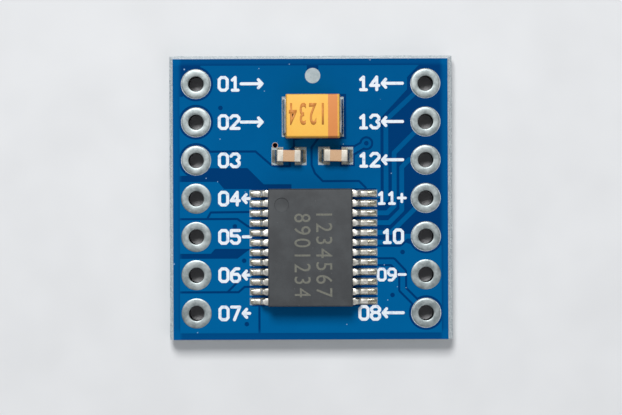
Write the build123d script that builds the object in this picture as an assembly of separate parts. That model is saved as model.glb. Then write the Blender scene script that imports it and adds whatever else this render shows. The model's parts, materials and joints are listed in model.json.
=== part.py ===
"""A dual motor driver breakout board: a small two-layer circuit board with two rows of
seven plated header holes, one 24-lead driver chip, one moulded tantalum capacitor and two
ceramic chip capacitors.

Millimetres. The origin is the centre of the header hole grid, on the board's underside:
the underside's mask, ink and pads all lie at or above Z 0.
+X runs from the left header row to the right one, +Y towards the capacitors, +Z out of
the component side.
"""

from build123d import *
from math import atan2, degrees, sin
import os

# ---------------------------------------------------------------- header holes
pin_pitch = 2.54
row_spacing = 15.24
pins_per_row = 7
hole_radius = 0.50
plating = 0.035
pad_radius = 0.95
pour_pad_radius = 1.00
pad_mask_gap = 0.05
hole_lip = 0.03

# ---------------------------------------------------------------- board layers
laminate_thickness = 1.50
copper_thickness = 0.035
mask_over_copper = 0.025
# The tinned pads finish flush with the mask, so that both lie on one plane.
tin_thickness = mask_over_copper
mask_over_laminate = 0.040
ink_thickness = 0.015

# ---------------------------------------------------------------- board outline
# Margins run from the outer hole centres to the edge of the masked face.
margin_left = 1.54
margin_right = 1.48
margin_top = 1.65
margin_bottom = 1.76
# The left, right and top edges are V-scored: each face slopes out to a snapped web.
score_run_left = 0.24
score_run_right = 0.30
score_run_top = 0.21
score_depth = 0.55
snap_roughness = 0.04
snap_waves = 11

# ---------------------------------------------------------------- copper pattern
pour_edge_gap = 0.44
copper_gap = 0.20
hairline_gap = 0.14
trace_width = 0.32
via_hole_radius = 0.15
via_pad_radius = 0.32
via_plating = 0.025
fiducial_radius = 0.51
fiducial_notch = 0.76

# ---------------------------------------------------------------- driver chip
leads_per_side = 12
lead_pitch = 0.65
lead_width = 0.28
lead_thickness = 0.15
lead_span = 7.60
lead_foot = 0.50
shoulder_width = 0.44
shoulder_length = 0.36
chip_length = 7.80
chip_width = 5.60
chip_height = 1.50
chip_standoff = 0.10
chip_draft = 6.0
chip_mark_radius = 0.48
chip_mark_depth = 0.06
chip_land_x = 0.155
chip_y = -3.26
chip_placement_error = -0.205
land_span = 8.41
land_length = 1.40
land_width = 0.42
land_mask_gap = 0.03
die_length = 3.40
die_width = 2.20
die_thickness = 0.25
die_attach = 0.03
paddle_border = 0.35
bond_wire_radius = 0.015
solder_film = 0.03
solder_rise = 0.13

# ---------------------------------------------------------------- tantalum capacitor
tantalum_x = 0.14
tantalum_y = 5.42
tantalum_length = 3.60
tantalum_width = 2.92
tantalum_height = 1.90
tantalum_draft = 5.0
tantalum_lift = 0.14
terminal_width = 2.20
terminal_thickness = 0.12
terminal_foot = 0.80
tantalum_land_length = 1.20
tantalum_land_width = 2.60
tantalum_land_reach = 0.22
pellet_length = 1.90
pellet_width = 1.90
pellet_height = 1.10
anode_wire_radius = 0.12

# ---------------------------------------------------------------- ceramic capacitors
ceramic_length = 1.60
ceramic_width = 0.82
ceramic_height = 0.80
end_cap_length = 0.42
end_cap_thickness = 0.03
ceramic_turn = -1.6
ceramic_land_length = 0.72
ceramic_land_width = 1.14
ceramic_land_span = 2.26
electrode_count = 10
electrode_thickness = 0.02
left_ceramic = (-1.45, 2.81)
right_ceramic = (1.65, 2.82)

# ---------------------------------------------------------------- printed pin numbers
digit_height = 0.84
digit_width = 0.54
digit_advance = 0.77
ink_line = 0.20
label_gap = 1.55
back_digit_scale = 0.85

# ---------------------------------------------------------------- levels through the board
z_back_copper = mask_over_copper
z_laminate_bottom = z_back_copper + copper_thickness
z_laminate_top = z_laminate_bottom + laminate_thickness
z_front_copper = z_laminate_top + copper_thickness
z_front_mask = z_front_copper + mask_over_copper
z_front_tin = z_front_copper + tin_thickness
z_back_tin = z_back_copper - tin_thickness

# ---------------------------------------------------------------- outline coordinates
grid_x = row_spacing / 2
grid_y = (pins_per_row - 1) * pin_pitch / 2
face_left = -grid_x - margin_left
face_right = grid_x + margin_right
face_top = grid_y + margin_top
face_bottom = -grid_y - margin_bottom
pour_left = face_left + pour_edge_gap
pour_right = face_right - pour_edge_gap
pour_top = face_top - pour_edge_gap
pour_bottom = face_bottom + pour_edge_gap

chip_x = chip_land_x + chip_placement_error
land_x = (land_span - land_length) / 2
land_outer = land_span / 2


def left_hole(index):
    """Centre of a hole in the left row, counted from the top."""
    return Vector(-grid_x, grid_y - index * pin_pitch)


def right_hole(index):
    """Centre of a hole in the right row, counted from the top."""
    return Vector(grid_x, grid_y - index * pin_pitch)


def lead_y(index):
    """Height on the board of a chip lead, counted from the top of either side."""
    return chip_y + ((leads_per_side - 1) / 2 - index) * lead_pitch


def left_land(index, dx=0.0, dy=0.0):
    """A point at the outer end of a land on the chip's left side."""
    return Vector(chip_land_x - land_outer + dx, lead_y(index) + dy)


def right_land(index, dx=0.0, dy=0.0):
    """A point at the outer end of a land on the chip's right side."""
    return Vector(chip_land_x + land_outer + dx, lead_y(index) + dy)


# Via centres: the first sits beside the left ceramic capacitor and is left untented.
open_via = Vector(left_ceramic[0] - 0.92, left_ceramic[1] + 0.72)
ring_via = Vector(right_ceramic[0] + 2.04, right_ceramic[1] + 0.82)
tented_vias = [
    left_hole(1) + Vector(1.63, 0.94),
    left_hole(4) + Vector(2.56, 0.69),
    left_hole(5) + Vector(3.17, 0.95),
    left_hole(6) + Vector(3.33, -0.72),
    right_hole(6) + Vector(-2.23, 1.18),
    right_hole(4) + Vector(-1.55, -1.05),
    ring_via,
]


# ---------------------------------------------------------------- flat drawing helpers
def rectangle(left, bottom, right, top):
    """A rectangle between two corners."""
    middle = Pos((left + right) / 2, (bottom + top) / 2)
    return middle * Rectangle(right - left, top - bottom)


def disc(centre, radius):
    """A disc about a point."""
    return Pos(centre.X, centre.Y) * Circle(radius)


def region(*points):
    """A closed straight-sided region."""
    return make_face(Polyline(*[Vector(p) for p in points], close=True))


def stroke(points, width):
    """A round-ended line of one width through the points."""
    bars = []
    for start, end in zip(points, points[1:]):
        start, end = Vector(start), Vector(end)
        run = end - start
        middle = (start + end) / 2
        angle = degrees(atan2(run.Y, run.X))
        bars.append(
            Pos(middle.X, middle.Y) * Rot(0, 0, angle) * SlotCenterToCenter(run.length, width)
        )
    return Sketch() + bars


def merge(shapes):
    """One sketch from many."""
    return Sketch() + [face for shape in shapes for face in shape.faces()]


def slab(sketch, low, high):
    """The sketch given thickness between two heights."""
    return extrude(Pos(0, 0, low) * sketch, high - low)


def box(left, bottom, low, right, top, high):
    """A box between two corners."""
    return slab(rectangle(left, bottom, right, top), low, high)


# ---------------------------------------------------------------- where solder may sit
def land_centres(side):
    """Centres of the chip's lands on one side, -1 for left and 1 for right."""
    x = chip_land_x + side * land_x
    return [Vector(x, lead_y(k)) for k in range(leads_per_side)]


def chip_lands(grow=0.0):
    """The chip's 24 lands, or their mask openings when grown."""
    shape = Rectangle(land_length + 2 * grow, land_width + 2 * grow)
    return [Pos(c.X, c.Y) * shape for side in (-1, 1) for c in land_centres(side)]


def tantalum_lands(grow=0.0):
    """The tantalum capacitor's two lands."""
    outer = tantalum_length / 2 + tantalum_land_reach
    shape = Rectangle(tantalum_land_length + 2 * grow, tantalum_land_width + 2 * grow)
    offset = outer - tantalum_land_length / 2
    return [Pos(tantalum_x + side * offset, tantalum_y) * shape for side in (-1, 1)]


def ceramic_lands(centre, grow=0.0):
    """The two lands of one ceramic capacitor."""
    shape = Rectangle(ceramic_land_length + 2 * grow, ceramic_land_width + 2 * grow)
    offset = (ceramic_land_span - ceramic_land_length) / 2
    return [Pos(centre[0] + side * offset, centre[1]) * shape for side in (-1, 1)]


def header_holes():
    """Every header hole as (number, centre, pad radius): 1 to 7 down the left row and 8 to
    14 up the right one. Holes that stand in a copper pour have the wider pad."""
    in_a_pour = {4, 5, 6, 7, 9}
    found = []
    for number in range(1, 2 * pins_per_row + 1):
        left = number <= pins_per_row
        centre = left_hole(number - 1) if left else right_hole(2 * pins_per_row - number)
        found.append((number, centre, pour_pad_radius if number in in_a_pour else pad_radius))
    return found


def mask_radius(radius):
    """The mask opening of a header pad: a gap round an isolated pad, none in a pour."""
    return radius if radius == pour_pad_radius else radius + pad_mask_gap


def fiducial_centre():
    """The bare copper dot near the board's top edge."""
    return Vector(0.14, grid_y + 0.53)


def front_openings():
    """Everywhere the front mask is left open."""
    shapes = [disc(c, mask_radius(r)) for _, c, r in header_holes()]
    shapes += chip_lands(land_mask_gap) + tantalum_lands(land_mask_gap)
    shapes += ceramic_lands(left_ceramic, land_mask_gap) + ceramic_lands(right_ceramic, land_mask_gap)
    shapes += [disc(fiducial_centre(), fiducial_radius)]
    shapes += [disc(open_via, via_hole_radius + pad_mask_gap)]
    return merge(shapes)


# ---------------------------------------------------------------- front copper
def signal_traces():
    """The six logic traces from the right header row to the chip."""
    steps = []
    steps.append([right_hole(0), (right_land(1).X + 0.63, right_hole(1).Y + 0.09)])
    steps[0] += [(steps[0][-1][0], lead_y(1) + 0.3), right_land(1, 0.25), right_land(1)]
    steps.append([right_hole(1), (right_land(2).X + 1.17, right_hole(2).Y + 0.45)])
    steps[1] += [(steps[1][-1][0], lead_y(2) + 0.45), right_land(2, 0.70), right_land(2)]
    steps.append([right_hole(2), (right_hole(2).X - 1.1, right_hole(2).Y)])
    steps[2] += [(right_land(3).X + 1.67, right_hole(2).Y - 0.5)]
    steps[2] += [(right_land(3).X + 1.67, lead_y(3) + 0.85), right_land(3, 0.82), right_land(3)]
    steps.append([right_hole(3), right_land(4, 0.95), right_land(4)])
    steps.append([right_hole(4), (right_hole(4).X - 1.3, right_hole(4).Y), right_land(5, 1.5), right_land(5)])
    steps.append([right_hole(6), (right_hole(6).X - 1.55, right_hole(6).Y + 1.55)])
    steps[5] += [(steps[5][-1][0], lead_y(7) - 0.70), right_land(7, 1.05), right_land(7)]
    return steps


def ceramic_via_trace():
    """The short trace from the right ceramic capacitor to the via beside it."""
    return [(right_ceramic[0] + 0.8, right_ceramic[1] + 0.1), ring_via]


def front_voids():
    """Areas of the front with no copper: wide dark gaps, hairline gaps between pours, the
    room round the chip's lands, and clearances round whatever is isolated."""
    right_of_traces = chip_land_x + land_outer + 0.63 - trace_width / 2 - copper_gap
    below_sleep = lead_y(5) - 0.28
    corner = pad_radius + 0.26
    wide = [
        # between the supply pour and the first output pour
        region(
            (pour_left - 1, left_hole(2).Y - 1.10), left_hole(2) + Vector(0, -0.97),
            left_hole(2) + Vector(0.55, -0.52), (left_land(0).X - 0.16, left_hole(2).Y - 0.52),
            left_land(0, 0.92, 0.62), left_land(0, 2.76, 0.62), left_land(0, 2.76, 0.32),
            left_land(0, -1.72, 0.32), left_land(0, -2.12, 0.80), left_land(0, -3.60, 0.80),
            left_land(0, -4.20, 0.80), (pour_left - 1, lead_y(0) + 0.80),
        ),
        # between the left ground pour and the second output pour
        region(
            (pour_left - 1, left_hole(4).Y - 1.12), left_hole(4) + Vector(0.96, -1.12),
            left_hole(4) + Vector(1.24, -0.80), left_land(6, 0.3, 0.24), left_land(6, -0.16, 0.12),
            (left_land(6).X - 0.84, left_hole(4).Y - 1.45), (pour_left - 1, left_hole(4).Y - 1.45),
        ),
        # to the right of the signal traces
        region(
            right_hole(0) + Vector(-0.42, 3), right_hole(0) + Vector(-0.42, corner),
            right_hole(0) + Vector(-corner, 0.4), right_hole(0) + Vector(-corner, -0.40),
            (right_of_traces, right_hole(1).Y + 0.22), (right_of_traces, lead_y(0) - 0.325),
            (right_land(0).X - 0.1, lead_y(0) - 0.325), (right_land(0).X - 0.1, below_sleep),
            (right_hole(4).X - 1.85, below_sleep), (right_hole(4).X - 1.5, right_hole(4).Y - 0.35),
            right_hole(4) + Vector(-1.0, -0.55), right_hole(4) + Vector(1.0, -0.60),
            (pour_right + 1, below_sleep), (pour_right + 1, right_hole(0).Y + 3),
        ),
        # outside the top left header hole
        region(
            left_hole(0) + Vector(-3, 3), left_hole(0) + Vector(0.32, 3), left_hole(0) + Vector(0.32, corner),
            left_hole(0), left_hole(0) + Vector(-0.9, -0.85), left_hole(0) + Vector(-3, -0.85),
        ),
        # inside the two rows of chip lands
        rectangle(
            chip_land_x - land_outer + 0.1, lead_y(leads_per_side - 1) - 0.33,
            chip_land_x - land_outer + land_length + 0.30, lead_y(0) + 0.40,
        ),
        rectangle(
            chip_land_x + land_outer - land_length - 0.30, lead_y(leads_per_side - 1) - 0.33,
            chip_land_x + land_outer - 0.02, lead_y(0) + 0.33,
        ),
    ]
    hair = [
        # between the upper pour and the supply pour
        [left_hole(2) + Vector(0.6, 0.58), (left_land(0).X + 0.38, left_hole(2).Y + 0.58),
         (left_ceramic[0] - 1.20, left_ceramic[1] - 0.58), (left_ceramic[0] - 0.96, left_ceramic[1] - 0.68),
         (left_ceramic[0] + 0.05, left_ceramic[1] - 0.68)],
        # between the two ceramic capacitors, then along the chip to its top right lead
        [(tantalum_x + 0.62, tantalum_y - 1.20), (tantalum_x + 0.30, tantalum_y - 1.51),
         (left_ceramic[0] + 1.50, left_ceramic[1] + 0.58), (left_ceramic[0] + 1.50, left_ceramic[1] - 0.60),
         (left_ceramic[0] + 1.73, left_ceramic[1] - 1.16), (left_ceramic[0] + 2.24, left_ceramic[1] - 1.68),
         right_land(0, -1.17, 0.82), right_land(0, -0.72, 0.38)],
        # between the lands of the left ceramic capacitor, then under the tantalum capacitor
        [(left_ceramic[0] + 0.05, left_ceramic[1] - 0.66), (left_ceramic[0] + 0.05, left_ceramic[1] + 0.40),
         (left_ceramic[0] + 0.33, left_ceramic[1] + 0.60), (left_ceramic[0] + 0.33, tantalum_y - 1.50),
         (tantalum_x - 0.60, tantalum_y - 1.38), (tantalum_x - 0.60, tantalum_y + 1.42),
         (tantalum_x + 0.70, tantalum_y + 1.42)],
        # under the first output pour
        [left_hole(3) + Vector(0.77, -1.27), left_hole(3) + Vector(0.96, -0.92), left_land(2, 0.1, 0.09)],
        # over the left ground pour
        [(pour_left - 0.3, left_hole(3).Y - 1.36), (left_land(3).X - 0.84, left_hole(3).Y - 1.36),
         left_land(3, -0.16, -0.20), left_land(3, 0.2, -0.32)],
        # under the second output pour, and the finger of copper beside it
        [(pour_left - 0.3, left_hole(5).Y - 1.14), (left_land(10).X - 0.78, left_hole(5).Y - 1.14),
         left_land(9, -0.38, -0.34), left_land(9, 0.2, -0.32)],
        [(left_land(10).X - 1.52, left_hole(5).Y - 1.14), left_land(8, -0.05, 0.13), left_land(8, 0.2, 0.33)],
        # between the supply pour and the ground pour, under the chip
        [(chip_land_x - 2.7, lead_y(0) - 0.6), (chip_land_x + 2.9, lead_y(0) - 0.6)],
        # between the last output pour and the lower ground pour
        [left_land(11, 0.60, -0.30), (left_land(11).X + 0.60, pour_bottom - 0.3)],
    ]
    rings = [disc(c, r + copper_gap) for n, c, r in header_holes() if n in (1, 2, 8, 10)]
    supply_side = rectangle(-grid_x, left_hole(2).Y - 0.97, -grid_x + 2, left_hole(2).Y + 0.51)
    rings += [disc(left_hole(2), pad_radius + copper_gap) - supply_side]
    dot = fiducial_centre()
    notch = rectangle(dot.X - fiducial_notch / 2, dot.Y, dot.X + fiducial_notch / 2, pour_top + 1)
    rings += [disc(dot, fiducial_radius), notch, disc(ring_via, via_pad_radius + hairline_gap)]
    rings += [face for face in tantalum_lands(copper_gap)[1:]]
    rings += [ceramic_lands(right_ceramic, hairline_gap)[1]]
    corridors = [stroke(line, trace_width + 2 * hairline_gap) for line in signal_traces()[4:]]
    corridors += [stroke(ceramic_via_trace(), trace_width + 2 * hairline_gap)]
    return merge(wide + [stroke(line, hairline_gap) for line in hair] + rings + corridors)


def front_copper():
    """All the copper of the front layer but the lands and the header pads, as flat regions."""
    pour = rectangle(pour_left, pour_bottom, pour_right, pour_top)
    traces = [stroke(line, trace_width) for line in signal_traces()]
    traces += [stroke(ceramic_via_trace(), trace_width), disc(ring_via, via_pad_radius)]
    feed = [rectangle(tantalum_x + 0.3, tantalum_y - 0.5, tantalum_x + 0.9, tantalum_y + 0.5)]
    copper = merge([pour - front_voids()] + feed + traces)
    taken = [disc(c, r) for _, c, r in header_holes()] + chip_lands() + tantalum_lands()
    taken += ceramic_lands(left_ceramic) + ceramic_lands(right_ceramic)
    taken += [disc(v, via_hole_radius + via_plating) for v in [open_via, *tented_vias]]
    return copper - merge(taken)


def bare_traces():
    """The ends of traces and pours that the mask leaves open beside pads, which take tin."""
    shown = [face for face in (front_copper() & front_openings()).faces() if face.area > 0.004]
    return merge([Sketch() + face for face in shown])


def sort_front_copper():
    """The front regions by what they carry, told apart by a point that each one holds."""
    smallest = 0.02
    faces = [f for f in front_copper().faces() if f.area > smallest]
    probes = {
        "copper_supply_pour": [left_hole(2) + Vector(1.6, 0.2)],
        "copper_output_pours": [left_hole(row) + Vector(1.3, 0.3) for row in (3, 5, 6)],
        "copper_ground_pours": [
            left_hole(4) + Vector(1.3, 0.3), Vector(chip_x + 1, (pour_bottom + lead_y(11)) / 2),
            right_hole(5) + Vector(0, 1.15),
        ],
        "copper_upper_pour": [left_hole(1) + Vector(1.5, -0.5), Vector(tantalum_x + 3.0, tantalum_y - 3.6)],
        "copper_signal_traces": [Vector(line[1]) for line in signal_traces()],
    }
    groups = {name: [] for name in [*probes, "copper_fingers"]}
    for face in faces:
        owner = "copper_fingers"
        for name, points in probes.items():
            if any(face.is_inside(Vector(p.X, p.Y, 0)) for p in points):
                owner = name
        groups[owner].append(face)
    return groups


# ---------------------------------------------------------------- back copper
def back_traces():
    """Two long traces and one short one on the back, from header holes and vias."""
    upper, lower = tented_vias[5], tented_vias[4]
    first = [left_hole(0), left_hole(0) + Vector(3.2, -3.2), (left_hole(0).X + 3.2, upper.Y + 3.0)]
    first += [(left_hole(0).X + 6.2, upper.Y), upper]
    second = [left_hole(1), left_hole(1) + Vector(2.1, -2.1), (left_hole(1).X + 2.1, lower.Y + 4.5)]
    second += [(left_hole(1).X + 6.6, lower.Y), lower]
    third = [right_hole(3), (ring_via.X + 2.6, right_hole(3).Y), ring_via]
    return [first, second, third]


def back_openings():
    """Everywhere the back mask is left open: the header pads alone."""
    return merge([disc(c, mask_radius(r)) for _, c, r in header_holes()])


def back_copper():
    """(the ground pour, the traces) of the back layer as flat regions."""
    pour = rectangle(pour_left, pour_bottom, pour_right, pour_top)
    tracks = merge([stroke(line, trace_width) for line in back_traces()])
    tracks = merge([tracks] + [disc(v, via_pad_radius) for v in tented_vias[4:]])
    lanes = merge([stroke(line, trace_width + 2 * copper_gap) for line in back_traces()])
    lanes = merge([lanes] + [disc(v, via_pad_radius + copper_gap) for v in tented_vias[4:]])
    ground = {5, 9}
    rings = merge([disc(c, pad_radius + copper_gap) for n, c, _ in header_holes() if n not in ground])
    holes = merge([disc(c, r) for _, c, r in header_holes()]
                  + [disc(v, via_hole_radius + via_plating) for v in [open_via, *tented_vias]])
    return pour - lanes - rings - holes, tracks - holes


# ---------------------------------------------------------------- laminate
def laminate():
    """The glass-epoxy core: scored and snapped on three edges, routed on the lower one."""
    low, high = z_laminate_bottom, z_laminate_top
    outer_left, outer_right = face_left - score_run_left, face_right + score_run_right
    outer_top = face_top + score_run_top
    web_low, web_high = low + score_depth, high - score_depth
    face = rectangle(face_left, face_bottom, face_right, face_top).face()
    web = rectangle(outer_left, face_bottom, outer_right, outer_top).face()
    core = loft([Pos(0, 0, low) * face, Pos(0, 0, web_low) * web], ruled=True)
    core += slab(Sketch() + web, web_low, web_high)
    core += loft([Pos(0, 0, web_high) * web, Pos(0, 0, high) * face], ruled=True)
    # The snapped web is wavy where the glass cloth tore.
    middle_low, middle_high = web_low + 0.08, web_high - 0.08
    core += slab(snapped_strip(outer_right, "right"), middle_low, middle_high)
    core += slab(snapped_strip(outer_top, "top"), middle_low, middle_high)
    core += slab(snapped_strip(outer_left, "left"), middle_low, middle_high)
    drills = [disc(c, hole_radius + plating) for _, c, _ in header_holes()]
    drills += [disc(v, via_hole_radius + via_plating) for v in [open_via, *tented_vias]]
    return core - slab(merge(drills), low - 1, high + 1)


def snapped_strip(edge, side):
    """A thin strip with a wavy outer line, standing out of one snapped edge."""
    start, stop = (face_left, face_right) if side == "top" else (face_bottom, face_top)
    inward = 0.2 if side != "left" else -0.2
    outward = snap_roughness if side != "left" else -snap_roughness
    count = 4 * snap_waves
    wave = []
    for i in range(1, count):
        along = start + (stop - start) * i / count
        rise = outward * (0.5 + 0.28 * sin(1.9 * i) + 0.22 * sin(0.7 * i + 1.3))
        wave.append((along, edge + rise))
    points = [(start, edge), *wave, (stop, edge)]
    if side != "top":
        points = [(y, x) for x, y in points]
        ends = [(edge - inward, stop), (edge - inward, start)]
    else:
        ends = [(stop, edge - inward), (start, edge - inward)]
    outline = Spline(*points) + Polyline(points[-1], *ends, points[0])
    return Sketch() + make_face(outline)


# ---------------------------------------------------------------- mask and ink
def solder_mask(copper, openings, laminate_face, outward):
    """One coat of solder mask, thinner and higher where it covers copper. outward is 1 on the
    front and -1 on the back."""
    board = rectangle(face_left, face_bottom, face_right, face_top) - openings
    raised = copper - openings
    low_coat = slab(board, *sorted((laminate_face, laminate_face + outward * mask_over_laminate)))
    top = laminate_face + outward * (copper_thickness + mask_over_copper)
    high_coat = slab(raised, *sorted((laminate_face + outward * copper_thickness, top)))
    metal = slab(copper, *sorted((laminate_face, laminate_face + outward * copper_thickness)))
    return low_coat - metal + high_coat


# Strokes of each sign on a grid four units wide and six high.
SIGNS = {
    "0": [[(1, 0), (3, 0), (4, 1), (4, 5), (3, 6), (1, 6), (0, 5), (0, 1), (1, 0)]],
    "1": [[(0.8, 4.8), (2.2, 6), (2.2, 0)], [(0.8, 0), (3.6, 0)]],
    "2": [[(0, 5), (1, 6), (3, 6), (4, 5), (4, 4), (0, 0), (4, 0)]],
    "3": [[(0, 5), (1, 6), (3, 6), (4, 5), (4, 4), (3, 3), (4, 2), (4, 1), (3, 0), (1, 0), (0, 1)]],
    "4": [[(3, 0), (3, 6), (0, 2), (4, 2)]],
    "5": [[(4, 6), (0, 6), (0, 3.5), (3, 3.5), (4, 2.5), (4, 1), (3, 0), (1, 0), (0, 1)]],
    "6": [[(3.6, 6), (2, 6), (0, 4), (0, 1), (1, 0), (3, 0), (4, 1), (4, 2.4), (3, 3.4), (0, 3.4)]],
    "7": [[(0, 6), (4, 6), (1.4, 0)]],
    "8": [[(1, 3.2), (0, 4.2), (0, 5), (1, 6), (3, 6), (4, 5), (4, 4.2), (3, 3.2), (1, 3.2)],
          [(1, 3.2), (0, 2.2), (0, 1), (1, 0), (3, 0), (4, 1), (4, 2.2), (3, 3.2)]],
    "9": [[(0.4, 0), (2, 0), (4, 2), (4, 5), (3, 6), (1, 6), (0, 5), (0, 3.6), (1, 2.6), (4, 2.6)]],
    ">": [[(0, 3), (4, 3)], [(2.2, 4.9), (4, 3), (2.2, 1.1)]],
    "<": [[(3.2, 3), (0, 3)], [(1.7, 4.9), (0, 3), (1.7, 1.1)]],
    "+": [[(0, 3), (4, 3)], [(2, 5), (2, 1)]],
    "_": [[(0.2, 3), (3.8, 3)]],
    "-": [[(-0.6, 3), (5.9, 3)]],
    "=": [[(-2.6, 3), (4.2, 3)]],
}


def printed_label(text, left, middle, scale=1.0):
    """The strokes of one label, starting at its left edge and centred on a height."""
    strokes = []
    for place, sign in enumerate(text):
        for line in SIGNS[sign]:
            points = [
                (left + scale * (place * digit_advance + x * digit_width / 4),
                 middle + scale * (y / 6 - 0.5) * digit_height)
                for x, y in line
            ]
            strokes.append(stroke(points, ink_line * scale))
    return strokes


def label_width(text, scale=1.0):
    """How far a label's stroke centres reach from its left edge."""
    return scale * ((len(text) - 1) * digit_advance + digit_width)


# Pin number first, then the way the signal runs, a plus for logic supply or a minus for ground.
LEFT_LABELS = ["01->", "02->", "03", "04<", "05_", "06<", "07<"]
RIGHT_LABELS = ["14<=", "13<=", "12<=", "11+", "10", "09_", "08<="]


def front_labels():
    """Every label on the component side as flat strokes."""
    strokes = []
    for index, text in enumerate(LEFT_LABELS):
        at = left_hole(index)
        strokes += printed_label(text, at.X + label_gap, at.Y)
    for index, text in enumerate(RIGHT_LABELS):
        at = right_hole(index)
        scale = 0.88 if len(text) == 3 else 1.0
        left = at.X - label_gap + 0.20 * (len(text) == 3) - label_width(text, scale)
        strokes += printed_label(text, left, at.Y, scale)
    return merge(strokes)


def back_labels():
    """Pin numbers on the underside, turned to read from there."""
    strokes = []
    for number, at, _ in header_holes():
        text = f"{number:02d}"
        wide = label_width(text, back_digit_scale)
        # Seen from below, the left row stands on the right.
        inward = -1 if at.X < 0 else 1
        start = -at.X + inward * (label_gap + 0.1) - (wide if inward < 0 else 0)
        strokes += printed_label(text, start, at.Y, back_digit_scale)
    return mirror(merge(strokes), Plane.YZ)


def front_ink(coat):
    """The labels of the component side, lying on the mask with a flat top."""
    low = z_laminate_top + mask_over_laminate
    return slab(front_labels() - front_openings(), low, z_front_mask + ink_thickness) - coat


def back_ink():
    """The labels of the underside, let into the mask so that the board rests on one plane."""
    return slab(back_labels() - back_openings(), 0, z_laminate_bottom - mask_over_laminate)


# ---------------------------------------------------------------- plated holes and vias
def plated_hole(centre, radius):
    """One header hole's plating: a barrel with a tinned ring on each face."""
    wall = hole_radius + plating
    profile = Polyline(
        (hole_radius, z_back_tin + hole_lip), (hole_radius + hole_lip, z_back_tin),
        (radius - 0.02, z_back_tin), (radius, z_back_copper), (radius, z_laminate_bottom),
        (wall, z_laminate_bottom), (wall, z_laminate_top), (radius, z_laminate_top),
        (radius, z_front_copper), (radius - 0.02, z_front_tin),
        (hole_radius + hole_lip, z_front_tin), (hole_radius, z_front_tin - hole_lip), close=True,
    )
    section = make_face(Plane.XZ * profile)
    return Pos(centre.X, centre.Y) * revolve(section, Axis.Z)


def via_barrel(centre):
    """One via's plating through the laminate, from layer to layer."""
    ring = Circle(via_hole_radius + via_plating) - Circle(via_hole_radius)
    return slab(Pos(centre.X, centre.Y) * ring, z_back_copper, z_front_copper)


# ---------------------------------------------------------------- driver chip
chip_seat = z_front_copper + solder_film
chip_low = chip_seat + chip_standoff
chip_high = chip_low + chip_height
chip_parting = chip_low + chip_height / 2 - 0.05
chip_left, chip_right = chip_x - chip_width / 2, chip_x + chip_width / 2


def chip_lead(side, index):
    """One gull-wing lead, with a shoulder that is wide at the case and narrows outwards."""
    body_side = chip_width / 2
    toe = lead_span / 2
    half = lead_thickness / 2
    heel = toe - lead_foot
    path = FilletPolyline(
        (body_side - 0.45, chip_parting), (body_side + shoulder_length, chip_parting),
        (heel - 0.02, chip_seat + half), (toe, chip_seat + half), radius=0.10,
    )
    blade = extrude(Plane.XZ * trace(path, lead_thickness), lead_width / 2, both=True)
    wide, narrow = shoulder_width / 2, lead_width / 2
    waist = body_side + shoulder_length - 0.08
    shoulder = region(
        (body_side - 0.2, -wide), (body_side + 0.12, -wide), (waist, -narrow),
        (waist, narrow), (body_side + 0.12, wide), (body_side - 0.2, wide),
    )
    lead = blade + slab(shoulder, chip_parting - half, chip_parting + half)
    if side < 0:
        lead = mirror(lead, Plane.YZ)
    return Pos(chip_x, lead_y(index)) * lead


def chip_leads(side):
    """The twelve leads of one side."""
    return [chip_lead(side, k) for k in range(leads_per_side)]


def chip_paddle():
    """The metal plate that the die is fixed to, with its two tie straps."""
    plate = Pos(chip_x, chip_y, chip_parting) * Box(
        die_width + 2 * paddle_border, die_length + 2 * paddle_border, lead_thickness
    )
    strap_length = (chip_length - die_length - 2 * paddle_border) / 2 - 0.15
    strap_y = die_length / 2 + paddle_border + strap_length / 2
    for way in (-1, 1):
        plate += Pos(chip_x, chip_y + way * strap_y, chip_parting) * Box(0.3, strap_length, lead_thickness)
    return plate


def chip_die():
    """(the silicon die, the adhesive under it)."""
    top_of_plate = chip_parting + lead_thickness / 2
    glue = Pos(chip_x, chip_y, top_of_plate + die_attach / 2) * Box(die_width, die_length, die_attach)
    die = Pos(chip_x, chip_y, top_of_plate + die_attach + die_thickness / 2) * Box(
        die_width, die_length, die_thickness
    )
    return die, glue


def bond_wire(side, index):
    """One wire loop from the die's edge to the inner end of a lead."""
    die_top = chip_parting + lead_thickness / 2 + die_attach + die_thickness
    lead_top = chip_parting + lead_thickness / 2
    spread = (die_length - 0.4) / (leads_per_side - 1)
    along = chip_y + ((leads_per_side - 1) / 2 - index) * spread
    start = Vector(chip_x + side * (die_width / 2 - 0.12), along, die_top)
    end = Vector(chip_x + side * (chip_width / 2 - 0.34), lead_y(index), lead_top)
    peak = start + (end - start) * 0.35
    path = Polyline(start, start + Vector(0, 0, 0.12), Vector(peak.X, peak.Y, die_top + 0.16), end)
    first = Plane(start, x_dir=(1, 0, 0), z_dir=(0, 0, 1))
    return sweep(first * Circle(bond_wire_radius), path, transition=Transition.RIGHT)


def chip_body(inner):
    """The moulded case round everything inside it, with the first-lead mark in its top."""
    outline = Pos(chip_x, chip_y, chip_parting) * Rectangle(chip_width, chip_length)
    upper = extrude(outline, chip_high - chip_parting, taper=chip_draft)
    lower = extrude(outline, -(chip_parting - chip_low), taper=chip_draft)
    case = upper + lower
    mark = Pos(chip_left + 0.92, chip_y + chip_length / 2 - 1.08, chip_high)
    case -= mark * Cone(chip_mark_radius - 0.06, chip_mark_radius + 0.06, 2 * chip_mark_depth)
    for piece in inner:
        case -= piece
    return case


def chip_solder(side, leads):
    """The solder on one side's lands: a low mound on each, with the lead's foot in it."""
    mounds = []
    for centre, lead in zip(land_centres(side), leads):
        low = Pos(centre.X, centre.Y, z_front_copper) * Rectangle(land_length, land_width)
        high = Pos(centre.X + side * 0.02, centre.Y, z_front_copper + solder_rise) * Rectangle(
            land_length - 0.30, lead_width + 0.04
        )
        mounds.append(loft([low.face(), high.face()]) - lead)
    return mounds


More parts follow.
